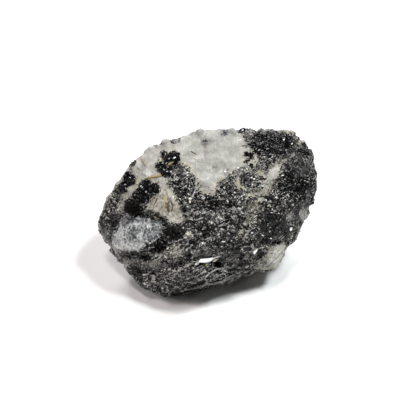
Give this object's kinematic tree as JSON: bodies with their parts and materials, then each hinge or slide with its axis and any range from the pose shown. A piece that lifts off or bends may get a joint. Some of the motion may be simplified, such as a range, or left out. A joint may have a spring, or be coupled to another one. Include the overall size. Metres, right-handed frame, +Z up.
{
  "type": "rough mineral specimen",
  "caption": "Loose rough lump of feldspar and black mica rock, broken on all sides, that rests on a flat break with its broad show side leaning back.",
  "frame": {"origin": "on the ground under the middle of the stone's bounding box", "axes": "+Z up, +X along the stone's longest way, -Y the way its broad show side looks"},
  "size_m": [0.0554, 0.0372, 0.0317],
  "materials": {
    "labradorite_rock": "rough broken mica schist with paler satin feldspar and glinting crystal faces"
  },
  "bodies": {
    "root": {"labradorite_stone": "labradorite_rock"}
  },
  "joints": []
}
